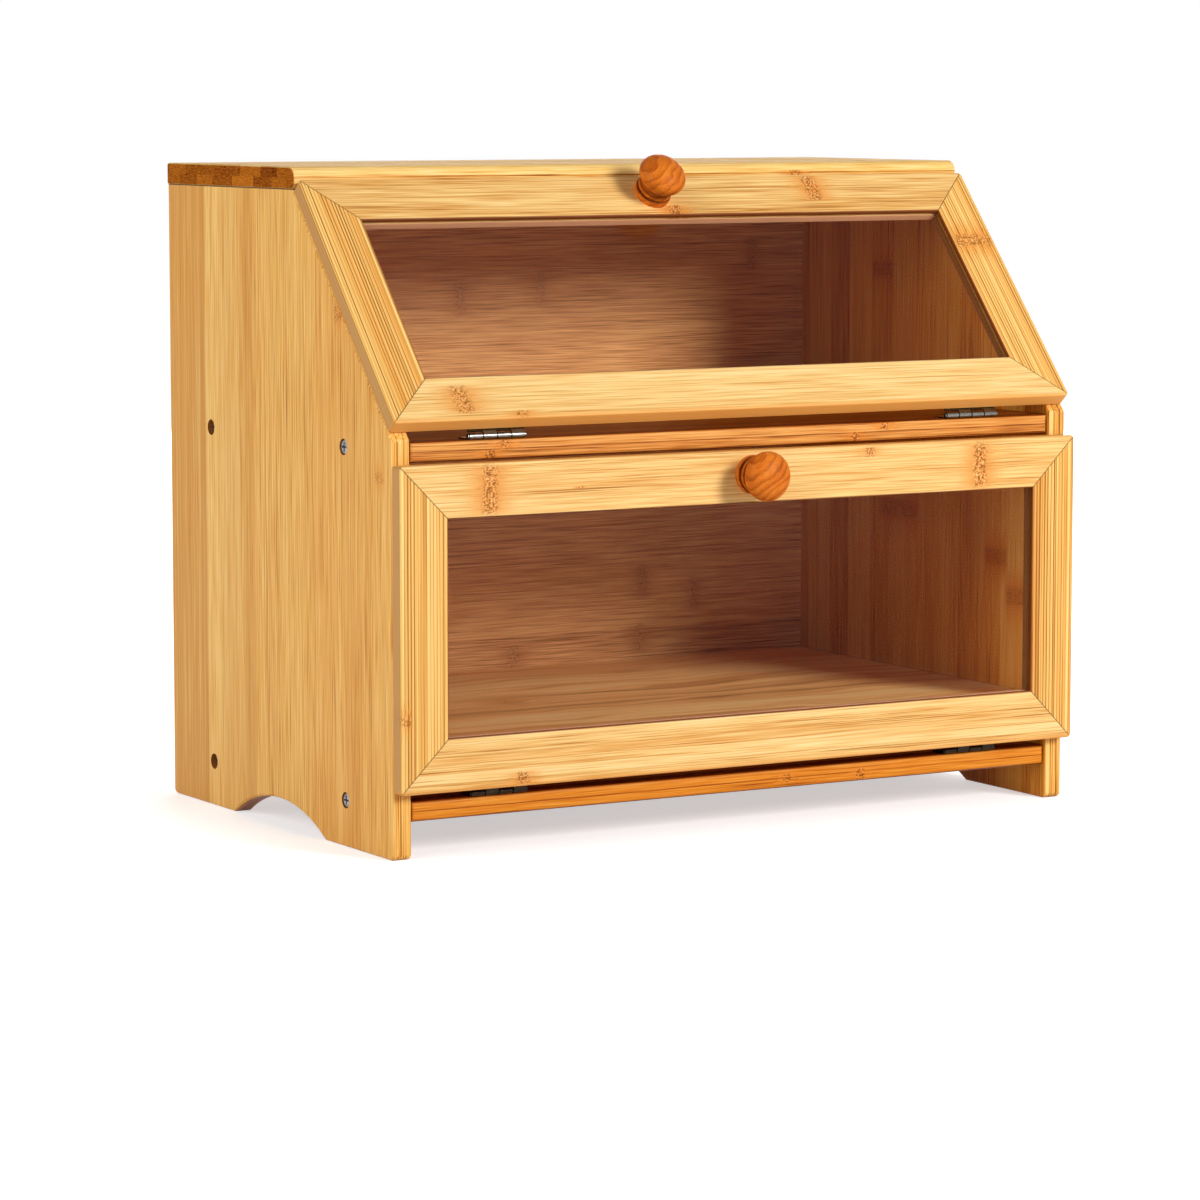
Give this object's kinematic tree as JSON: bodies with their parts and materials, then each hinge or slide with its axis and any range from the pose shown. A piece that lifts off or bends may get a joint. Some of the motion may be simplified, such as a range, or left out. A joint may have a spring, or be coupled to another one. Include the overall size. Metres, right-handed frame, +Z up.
{
  "type": "bread box",
  "caption": "Tiered bamboo bread box with a sloped window door above an upright one, each bottom-hinged with a round knob.",
  "frame": {"origin": "on the counter, at the middle of the overall width and depth with both doors shut, knobs included", "axes": "+X across to the right as seen from the front, +Y from the doors to the back, +Z up"},
  "size_m": [0.382, 0.2696, 0.3249],
  "materials": {
    "panel_bamboo": "satin lacquer",
    "top_bamboo": "satin lacquer",
    "board_bamboo": "satin lacquer",
    "back_bamboo": "satin lacquer",
    "frame_bamboo": "satin lacquer",
    "knob_wood": "satin lacquer",
    "dowel_wood": "plain",
    "window": "clear",
    "hinge_steel": "bright plated steel",
    "screw_steel": "plated steel",
    "catch_steel": "plated steel"
  },
  "bodies": {
    "case": {"back_panel": "back_bamboo", "bottom_board": "board_bamboo", "door_catch_magnets": "catch_steel", "floor_bearers": "board_bamboo", "left_panel_screws": "screw_steel", "left_side_panel": "panel_bamboo", "lower_hinge_case_screws": "screw_steel", "lower_left_hinge_case_leaf": "hinge_steel", "lower_left_hinge_pin": "hinge_steel", "lower_right_hinge_case_leaf": "hinge_steel", "lower_right_hinge_pin": "hinge_steel", "middle_shelf": "board_bamboo", "raised_floor": "board_bamboo", "right_panel_screws": "screw_steel", "right_side_panel": "panel_bamboo", "top_board": "top_bamboo", "top_board_dowels": "dowel_wood", "upper_hinge_case_screws": "screw_steel", "upper_left_hinge_case_leaf": "hinge_steel", "upper_left_hinge_pin": "hinge_steel", "upper_right_hinge_case_leaf": "hinge_steel", "upper_right_hinge_pin": "hinge_steel"},
    "lower_door": {"lower_door_bottom_rail": "frame_bamboo", "lower_door_knob": "knob_wood", "lower_door_knob_screw": "screw_steel", "lower_door_left_stile": "frame_bamboo", "lower_door_right_stile": "frame_bamboo", "lower_door_strike_discs": "catch_steel", "lower_door_top_rail": "frame_bamboo", "lower_door_window": "window", "lower_hinge_door_screws": "screw_steel", "lower_left_hinge_door_leaf": "hinge_steel", "lower_right_hinge_door_leaf": "hinge_steel"},
    "upper_door": {"upper_door_bottom_rail": "frame_bamboo", "upper_door_knob": "knob_wood", "upper_door_knob_screw": "screw_steel", "upper_door_left_stile": "frame_bamboo", "upper_door_right_stile": "frame_bamboo", "upper_door_top_rail": "frame_bamboo", "upper_door_window": "window", "upper_hinge_door_screws": "screw_steel", "upper_left_hinge_door_leaf": "hinge_steel", "upper_right_hinge_door_leaf": "hinge_steel"}
  },
  "joints": [
    {"name": "upper_door_hinge", "type": "hinge", "parent": "case", "child": "upper_door", "pos_m": [0, -0.10328, 0.1963], "axis": [1, 0, 0], "range_deg": [0, 131.5]},
    {"name": "lower_door_hinge", "type": "hinge", "parent": "case", "child": "lower_door", "pos_m": [0, -0.10395, 0.0287], "axis": [1, 0, 0], "range_deg": [0, 89]}
  ]
}
